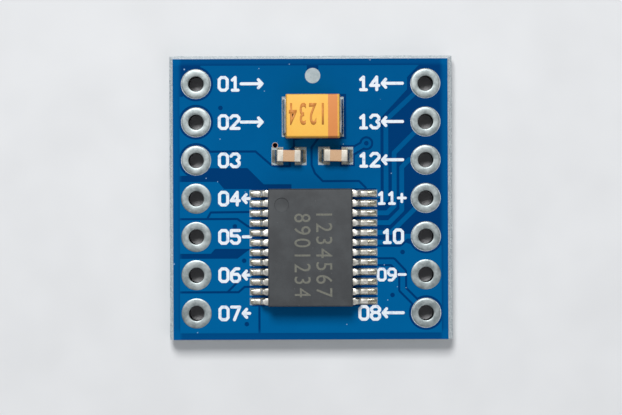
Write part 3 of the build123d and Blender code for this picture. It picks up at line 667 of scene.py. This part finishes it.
# --------------------------------------------------------------------------- sub-assemblies
@dataclass
class BareBoard:
    """Laminate, mask, printed labels, buried copper and the three torn edges."""

    frame: dict
    web_share: float = 0.30
    strip_overlap: float = 0.10 * MM
    tear_depth: float = 0.07 * MM
    tear_grain: float = 0.16 * MM
    lengthwise_cuts: int = 150
    crosswise_cuts: int = 5

    def dress_nodes(self) -> None:
        """Give the board's own nodes their finishes."""
        mask = MaskFinish().make()
        ink = InkFinish().make()
        copper = MetalFinish("bare_copper", paint(214, 140, 106), paint(180, 104, 74)).make()
        tin = MetalFinish("tinned_dot", paint(168, 178, 182), paint(146, 157, 160), 0.5).make()
        finishes = {"laminate": FibreFinish().make(), "fiducial": tin}
        for node, piece in self.frame["nodes"].items():
            if node.startswith("solder_mask"):
                finishes[node] = mask
            elif node.startswith("pin_numbers"):
                finishes[node] = ink
            elif node in ("chip_lands", "capacitor_lands", "trace_tinning"):
                finishes[node] = tin
            elif node.startswith("copper") or node == "vias":
                finishes[node] = copper
        for node, material in finishes.items():
            Bench.dress(self.frame["nodes"][node], material)
            log.info("%s: dressed", node)

    def torn_edge(self, name: str, across: int, side: Side) -> bpy.types.Object:
        """Model the scored and torn glass cloth along one edge.

        Args:
            name: The piece's name.
            across: The axis that the edge faces along, 0 for X and 1 for Y.
            side: Which end of that axis.

        Returns:
            The rough strip.
        """
        board_low, board_high = corners("laminate")
        mask_low, mask_high = corners("solder_mask_front")
        low, high = board_low.copy(), board_high.copy()
        if side is Side.RIGHT:
            low[across] = mask_high[across] - self.strip_overlap
            high[across] = board_high[across] - self.tear_depth / 2
        else:
            low[across] = board_low[across] + self.tear_depth / 2
            high[across] = mask_low[across] + self.strip_overlap
        if across == 1:
            low.x, high.x = mask_low.x, mask_high.x
        else:
            high.y = mask_high.y
        piece = Bench.block(name, low, high)
        outer = (high if side is Side.RIGHT else low)[across]
        Bench.pick(piece, lambda centre, normal: abs(centre[across] - outer) < 0.01 * MM)
        middle = (low + high) / 2
        middle[across] = outer
        bpy.ops.transform.resize(value=(1, 1, self.web_share), center_override=middle)
        Bench.pick_edges(piece, 1 - across)
        bpy.ops.mesh.subdivide(number_cuts=self.lengthwise_cuts)
        Bench.pick_edges(piece, 2)
        bpy.ops.mesh.subdivide(number_cuts=self.crosswise_cuts)
        Bench.done()
        tear = bpy.data.textures.new(name, "CLOUDS")
        tear.noise_scale = self.tear_grain
        tear.noise_depth = 3
        Bench.finish_with(piece, "DISPLACE", texture=tear, texture_coords="LOCAL",
                          strength=self.tear_depth, mid_level=0.5)
        Bench.smooth(piece, 50)
        return piece

    def build(self) -> None:
        """Dress the nodes and add the torn edges."""
        self.dress_nodes()
        fibre = FibreFinish().make()
        for name, across, side in (("torn_edge_left", 0, Side.LEFT),
                                   ("torn_edge_right", 0, Side.RIGHT),
                                   ("torn_edge_top", 1, Side.RIGHT)):
            piece = self.torn_edge(name, across, side)
            Bench.hand_over(piece, fibre, Slot.FIBRE)


@dataclass
class HeaderHoles:
    """The fourteen plated header holes, each one turned with a soft crown of tin."""

    frame: dict
    bore: float = 0.50 * MM
    wall: float = 0.035 * MM
    crown: float = 0.012 * MM
    corner: float = 0.035 * MM
    points: int = 64

    def stations(self, radius: float, low: float, high: float) -> list[tuple[float, float]]:
        """Give the profile of one plated hole as (radius, height) pairs, once round.

        Args:
            radius: The pad's radius.
            low: The underside's height.
            high: The pad's height on the component side.

        Returns:
            The closed profile.
        """
        soft = self.corner
        sleeve = self.bore + self.wall
        skin = 0.06 * MM
        return [
            (self.bore, low + soft), (self.bore, high - soft),
            (self.bore + soft * 0.3, high - soft * 0.25), (self.bore + soft, high),
            (self.bore + 3 * soft, high + self.crown * 0.8), ((self.bore + radius) / 2, high + self.crown),
            (radius - 3 * soft, high + self.crown * 0.8), (radius - soft, high),
            (radius - soft * 0.2, high - soft * 0.3), (radius, high - soft), (radius, high - skin),
            (sleeve, high - skin), (sleeve, low + skin), (radius, low + skin),
            (radius, low + soft), (radius - soft * 0.3, low + soft * 0.3), (radius - soft, low),
            (self.bore + soft, low), (self.bore + soft * 0.3, low + soft * 0.3),
        ]

    def turn(self, name: str, radius: float, centre: Vector, low: float, high: float) -> bpy.types.Object:
        """Turn one plated hole by drawing a ring through its profile.

        Args:
            name: The piece's name.
            radius: The pad's radius.
            centre: The hole's centre on the board.
            low: The underside's height.
            high: The pad's height on the component side.

        Returns:
            The closed ring of plating.
        """
        profile = self.stations(radius, low, high)
        Bench.clear()
        start_radius, start_height = profile[0]
        bpy.ops.mesh.primitive_circle_add(vertices=self.points, radius=start_radius,
                                          location=(centre.x, centre.y, start_height))
        piece = bpy.context.object
        piece.name = name
        Bench.settle(piece)
        Bench.take(piece)
        bpy.ops.object.mode_set(mode="EDIT")
        bpy.ops.mesh.select_all(action="SELECT")
        ring, height = start_radius, start_height
        for next_ring, next_height in profile[1:] + profile[:1]:
            bpy.ops.mesh.extrude_edges_move(
                TRANSFORM_OT_translate={"value": (0, 0, next_height - height)})
            share = next_ring / ring
            bpy.ops.transform.resize(value=(share, share, 1),
                                     center_override=(centre.x, centre.y, next_height))
            ring, height = next_ring, next_height
        bpy.ops.mesh.select_all(action="SELECT")
        bpy.ops.mesh.remove_doubles(threshold=MERGE_DISTANCE)
        bpy.ops.mesh.normals_make_consistent(inside=False)
        Bench.done()
        Bench.smooth(piece, 50)
        return piece

    def build(self) -> None:
        """Turn and dress every header hole."""
        # Painted shade: the plating inside each bore is painted near-black.
        tin = MetalFinish("tinned_pad", paint(182, 190, 190), paint(138, 148, 149), 0.42, 0.10,
                          painted_bore_shade=paint(46, 44, 46)).make()
        for node in sorted(self.frame["nodes"]):
            if node.startswith("header_hole"):
                low, high = corners(node)
                centre = (low + high) / 2
                piece = self.turn(f"plated_{node[-2:]}", (high.x - low.x) / 2, centre, low.z, high.z)
                Bench.hand_over(piece, tin, Slot.TINNED, node)


@dataclass
class DriverChip:
    """The driver chip: moulded case, marking, leads and solder."""

    frame: dict
    draft: float = 0.075 * MM
    edge_round: float = 0.05 * MM
    dimple_radius: float = 0.48 * MM
    dimple_depth: float = 0.06 * MM
    leads_per_side: int = 12
    mark_rows: tuple = ("1234567", "8901234")
    mark_height: float = 1.07 * MM
    mark_length: float = 5.50 * MM
    mark_offset: float = -0.52 * MM
    mark_spacing: float = 1.43 * MM

    def case(self) -> bpy.types.Object:
        """Model the moulded case with its drafted sides, rounded edges and dimple."""
        low, high = corners("chip_case")
        piece = Bench.block("chip_moulding", low, high)
        middle = (low + high) / 2
        Bench.pick(piece, lambda centre, normal: True)
        bpy.ops.mesh.bisect(plane_co=middle, plane_no=(0, 0, 1))
        for end in (low.z, high.z):
            Bench.pick(piece, lambda centre, normal: abs(centre.z - end) < 0.01 * MM)
            share_x = 1 - 2 * self.draft / (high.x - low.x)
            share_y = 1 - 2 * self.draft / (high.y - low.y)
            bpy.ops.transform.resize(value=(share_x, share_y, 1), center_override=(middle.x, middle.y, end))
        Bench.done()
        Bench.round_edges(piece, self.edge_round, 4)
        self.cut_dimple(piece, Vector((low.x + 0.92 * MM, high.y - 1.08 * MM, high.z)))
        return piece

    def cut_dimple(self, piece: bpy.types.Object, centre: Vector) -> None:
        """Press the round first-lead mark into the case.

        Args:
            piece: The case.
            centre: The mark's centre on the case's top.
        """
        Bench.clear()
        bpy.ops.mesh.primitive_cylinder_add(vertices=64, radius=self.dimple_radius,
                                            depth=2 * self.dimple_depth, location=centre)
        cutter = bpy.context.object
        Bench.settle(cutter)
        Bench.pick(cutter, lambda middle, normal: normal.z < -0.9)
        bpy.ops.mesh.bevel(offset=self.dimple_depth * 0.8, segments=4, affect="EDGES")
        Bench.done()
        Bench.finish_with(piece, "BOOLEAN", object=cutter, operation="DIFFERENCE", solver="EXACT")
        Bench.remove(cutter)
        Bench.smooth(piece, 40)

    def marking(self) -> bpy.types.Object:
        """Cut two rows of plain figures that read down the case."""
        low, high = corners("chip_case")
        rows = []
        for index, figures in enumerate(self.mark_rows):
            x = (low.x + high.x) / 2 + self.mark_offset + (1 - index) * self.mark_spacing
            y = (low.y + high.y) / 2 - 0.50 * MM
            centre = Vector((x, y, high.z))
            rows.append(figures_piece(figures, centre, -90, self.mark_length, self.mark_height))
        return Bench.join(rows, "chip_marking")

    def leads(self, side: Side) -> bpy.types.Object:
        """Copy one row of leads and round their stamped edges."""
        word = side.name.lower()
        piece = Bench.merged_nodes(self.frame, [f"chip_leads_{word}"], f"formed_leads_{word}")
        Bench.round_edges(piece, 0.022 * MM, 2)
        return piece

    def mound(self, name: str, low: Vector, high: Vector, foot: float) -> bpy.types.Object:
        """Model the solder on one land, risen round the lead's foot.

        Args:
            name: The piece's name.
            low: The land's lowest corner.
            high: The solder's highest corner.
            foot: Where along X the lead's foot is centred.

        Returns:
            The mound.
        """
        film = 0.45
        top = Vector((high.x, high.y, low.z + (high.z - low.z) * film))
        piece = Bench.block(name, low, top)
        rise = (high.z - top.z) / 2
        middle = (low + high) / 2
        Bench.pick(piece, lambda centre, normal: normal.z > 0.9)
        for step in range(2):
            bpy.ops.mesh.inset(thickness=0.055 * MM, depth=0)
            bpy.ops.transform.translate(value=((foot - middle.x) * 0.22, 0, rise))
        bpy.ops.transform.resize(value=(0.72, 0.9, 1), center_override=(foot, middle.y, high.z))
        bpy.ops.mesh.select_all(action="SELECT")
        bpy.ops.mesh.subdivide(number_cuts=1)
        Bench.done()
        Bench.finish_with(piece, "SUBSURF", levels=2, render_levels=2)
        Bench.smooth(piece, 60)
        return piece

    def solder(self, side: Side) -> bpy.types.Object:
        """Model the solder of one row: one mound, copied to every lead."""
        word = side.name.lower()
        low, high = corners(f"chip_solder_{word}")
        lead_low, lead_high = corners(f"chip_leads_{word}")
        width = 0.42 * MM
        pitch = (high.y - low.y - width) / (self.leads_per_side - 1)
        toe = lead_low.x if side is Side.LEFT else lead_high.x
        foot = toe - side.value * 0.25 * MM
        first = self.mound(f"lead_solder_{word}", low, Vector((high.x, low.y + width, high.z)), foot)
        mounds = [first]
        for index in range(1, self.leads_per_side):
            mounds.append(Bench.copy(first, f"mound_{index}", Matrix.Translation((0, index * pitch, 0))))
        return Bench.join(mounds, f"lead_solder_{word}")

    def build(self) -> None:
        """Build and dress the whole chip."""
        Bench.hand_over(self.case(), MouldFinish().make(), Slot.MOULD, "chip_case")
        faint = PlainFinish("laser_mark", paint(124, 124, 112), paint(98, 99, 92), 0.7).make()
        Bench.hand_over(self.marking(), faint, Slot.MOULD)
        tin = MetalFinish("lead_tin", paint(240, 238, 231), paint(208, 204, 192), 0.36, 0.10).make()
        bright = MetalFinish("reflowed_solder", paint(226, 222, 208), paint(168, 162, 140), 0.24, 0.14, 0.010)
        bright = bright.make()
        for side in Side:
            word = side.name.lower()
            Bench.hand_over(self.leads(side), tin, Slot.LEAD_FRAME, f"chip_leads_{word}")
            Bench.hand_over(self.solder(side), bright, Slot.SOLDER, f"chip_solder_{word}")
        inside = {
            "chip_die_paddle": MetalFinish("paddle_metal", paint(206, 180, 150), paint(170, 140, 110)),
            "chip_die": PlainFinish("silicon", paint(122, 126, 138), paint(88, 92, 106), 0.2),
            "chip_die_adhesive": PlainFinish("silver_paste", paint(198, 198, 196), paint(160, 160, 158)),
            "chip_bond_wires": MetalFinish("gold_wire", paint(244, 214, 140), paint(214, 178, 96), 0.2),
        }
        for node, finish in inside.items():
            Bench.dress(self.frame["nodes"][node], finish.make())
            log.info("%s: dressed", node)


def figures_piece(figures: str, centre: Vector, turn: float, length: float, height: float,
                  weight: float = 0.0) -> bpy.types.Object:
    """Model a row of plain figures as a skin lying on a flat face.

    Args:
        figures: The figures.
        centre: The row's centre, on the face.
        turn: The reading direction's turn about Z, in degrees.
        length: The row's length.
        height: The figures' height.
        weight: How much bolder the strokes are, as a share of the height.

    Returns:
        The row as one mesh.
    """
    Bench.clear()
    bpy.ops.object.text_add()
    piece = bpy.context.object
    piece.name = f"figures_{figures}"
    piece.data.body = figures
    piece.data.size = height
    piece.data.space_character = 1.25
    piece.data.offset = weight * height
    piece.data.resolution_u = 6
    Bench.take(piece)
    bpy.ops.object.convert(target="MESH")
    points = [vertex.co.copy() for vertex in piece.data.vertices]
    low = Vector(min(p[i] for p in points) for i in range(3))
    high = Vector(max(p[i] for p in points) for i in range(3))
    spread = high - low
    piece.data.transform(Matrix.Translation(-(low + high) / 2))
    piece.data.transform(Matrix.Diagonal((length / spread.x, height / spread.y, 1, 1)))
    piece.data.transform(Matrix.Rotation(math.radians(turn), 4, "Z"))
    piece.data.transform(Matrix.Translation(centre))
    Bench.finish_with(piece, "SOLIDIFY", thickness=0.006 * MM, offset=0)
    return piece


@dataclass
class TantalumCapacitor:
    """The moulded tantalum capacitor: case, band, figures, folded ends and solder."""

    frame: dict
    draft: float = 0.08 * MM
    edge_round: float = 0.09 * MM
    figures: str = "1234"

    def case(self) -> bpy.types.Object:
        """Model the case, drafted both ways from its parting line."""
        low, high = corners("tantalum_case")
        piece = Bench.block("yellow_moulding", low, high)
        middle = (low + high) / 2
        Bench.pick(piece, lambda centre, normal: True)
        bpy.ops.mesh.bisect(plane_co=middle, plane_no=(0, 0, 1))
        for end in (low.z, high.z):
            Bench.pick(piece, lambda centre, normal: abs(centre.z - end) < 0.01 * MM)
            share_x = 1 - 2 * self.draft / (high.x - low.x)
            share_y = 1 - 2 * self.draft / (high.y - low.y)
            bpy.ops.transform.resize(value=(share_x, share_y, 1), center_override=(middle.x, middle.y, end))
        Bench.done()
        Bench.round_edges(piece, self.edge_round, 4)
        return piece

    def build(self) -> None:
        """Build and dress the whole capacitor."""
        low, high = corners("tantalum_case")
        middle = (low + high) / 2
        band = (middle.x + 1.00 * MM) / MM, (middle.x + 1.63 * MM) / MM
        Bench.hand_over(self.case(), YellowFinish(*band).make(), Slot.YELLOW, "tantalum_case")
        row = figures_piece(self.figures, Vector((middle.x - 0.42 * MM, middle.y + 0.11 * MM, high.z)),
                            180, 2.30 * MM, 1.46 * MM, 0.018)
        row.name = "tantalum_marking"
        Bench.hand_over(row, PlainFinish("brown_mark", paint(226, 148, 66), paint(210, 132, 58)).make(),
                        Slot.YELLOW)
        tin = MetalFinish("end_tin", paint(244, 242, 236), paint(206, 202, 190), 0.34, 0.12).make()
        for end in ("anode", "cathode"):
            node = f"tantalum_{end}_terminal"
            piece = Bench.merged_nodes(self.frame, [node], f"folded_{end}_end")
            Bench.round_edges(piece, 0.02 * MM, 2)
            Bench.hand_over(piece, tin, Slot.LEAD_FRAME, node)
        solder = MetalFinish("end_solder", paint(226, 222, 210), paint(160, 156, 142),
                             0.24, 0.12, 0.012).make()
        Bench.dress(self.frame["nodes"]["tantalum_solder"], solder)
        dark = MetalFinish("sintered_metal", paint(104, 104, 108), paint(70, 70, 74), 0.6).make()
        paste = PlainFinish("silver_adhesive", paint(196, 196, 194), paint(160, 160, 158)).make()
        Bench.dress(self.frame["nodes"]["tantalum_pellet"], dark)
        Bench.dress(self.frame["nodes"]["tantalum_anode_wire"], dark)
        Bench.dress(self.frame["nodes"]["tantalum_silver_adhesive"], paste)


@dataclass
class CeramicCapacitor:
    """One ceramic chip capacitor: fired block, dipped end caps and solder."""

    frame: dict
    name: str

    def build(self, body: bpy.types.Material, caps: bpy.types.Material, solder: bpy.types.Material,
              nickel: bpy.types.Material) -> None:
        """Build and dress the capacitor.

        Args:
            body: The ceramic's material.
            caps: The end caps' material.
            solder: The solder's material.
            nickel: The buried plates' material.
        """
        stem = f"ceramic_{self.name}"
        block = Bench.merged_nodes(self.frame, [f"{stem}_block"], f"{stem}_fired_block")
        Bench.smooth(block, 40)
        Bench.hand_over(block, body, Slot.CERAMIC, f"{stem}_block")
        ends = Bench.merged_nodes(self.frame, [f"{stem}_end_caps"], f"{stem}_dipped_ends")
        Bench.smooth(ends, 50)
        Bench.hand_over(ends, caps, Slot.SOLDER, f"{stem}_end_caps")
        Bench.dress(self.frame["nodes"][f"{stem}_solder"], solder)
        Bench.dress(self.frame["nodes"][f"{stem}_electrodes"], nickel)


# --------------------------------------------------------------------------- studio
@dataclass
class Studio:
    """A pale floor, soft lamps and a camera straight above the board."""

    view_centre: tuple = (0.0, -0.61 * MM)
    view_width: float = 41.3 * MM
    board_face: float = 1.62 * MM
    lens: float = 130.0
    sensor: float = 36.0
    roll: float = 0.22
    key_power: float = 0.575
    fill_power: float = 0.10
    world_strength: float = 0.30

    def camera(self) -> None:
        """Add the camera and make it the scene's own."""
        distance = self.view_width * self.lens / self.sensor
        data = bpy.data.cameras.new("studio_camera")
        data.lens = self.lens
        data.sensor_width = self.sensor
        data.clip_start = 0.001
        data.clip_end = 10.0
        camera = bpy.data.objects.new("studio_camera", data)
        camera.location = (*self.view_centre, self.board_face + distance)
        camera.rotation_euler = (0, 0, math.radians(-self.roll))
        bpy.context.collection.objects.link(camera)
        bpy.context.scene.camera = camera

    def lamp(self, name: str, place: Vector, size: float, power: float) -> None:
        """Add one square soft lamp that faces the board.

        Args:
            name: The lamp's name.
            place: Where it hangs.
            size: Its side.
            power: Its power in watts.
        """
        data = bpy.data.lights.new(name, "AREA")
        data.size = size
        data.energy = power
        lamp = bpy.data.objects.new(name, data)
        lamp.location = place
        lamp.rotation_euler = (-place).to_track_quat("-Z", "Y").to_euler()
        bpy.context.collection.objects.link(lamp)

    def floor(self) -> None:
        """Add the pale floor under the board."""
        Bench.clear()
        bpy.ops.mesh.primitive_plane_add(size=1.2, location=(0, 0, -0.01 * MM))
        piece = bpy.context.object
        piece.name = "floor"
        Bench.settle(piece)
        graph = Graph("floor_paper", Roughness=0.9, Specular_IOR_Level=0.1)
        grain = graph.noise(6.0, 2.0).ramp(0.2, 0.8)
        graph.feed("Base Color", grain.mix(paint(226, 227, 228), paint(232, 233, 234)))
        Bench.dress(piece, graph.material)

    def world(self) -> None:
        """Light the room evenly with a pale grey."""
        world = bpy.data.worlds.new("studio_room")
        world.use_nodes = True
        room = world.node_tree.nodes["Background"]
        room.inputs["Color"].default_value = (0.92, 0.95, 1.0, 1.0)
        room.inputs["Strength"].default_value = self.world_strength
        bpy.context.scene.world = world

    def build(self) -> None:
        """Set up the whole studio."""
        self.camera()
        self.floor()
        self.world()
        self.lamp("key_lamp", Vector((-0.03, 0.14, 0.235)), 0.10, self.key_power)
        self.lamp("fill_lamp", Vector((0.12, -0.16, 0.20)), 0.20, self.fill_power)
        bpy.context.scene.view_settings.view_transform = "Standard"


def main() -> None:
    """Load the board, build every sub-assembly in order and light it."""
    logging.basicConfig(level=logging.INFO, format="%(name)s %(message)s")
    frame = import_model()
    Studio().build()
    BareBoard(frame).build()
    HeaderHoles(frame).build()
    DriverChip(frame).build()
    TantalumCapacitor(frame).build()
    tan = PlainFinish("fired_ceramic", paint(212, 175, 138), paint(198, 158, 118), 0.5).make()
    caps = MetalFinish("dipped_end", paint(214, 209, 198), paint(194, 188, 176), 0.50, 0.10).make()
    solder = MetalFinish("chip_solder", paint(226, 222, 208), paint(150, 146, 130), 0.22, 0.12, 0.012).make()
    nickel = MetalFinish("nickel_plate", paint(198, 192, 180), paint(166, 160, 148)).make()
    for name in ("left", "right"):
        CeramicCapacitor(frame, name).build(tan, caps, solder, nickel)
    Bench.clear()


if __name__ == "__main__":
    main()
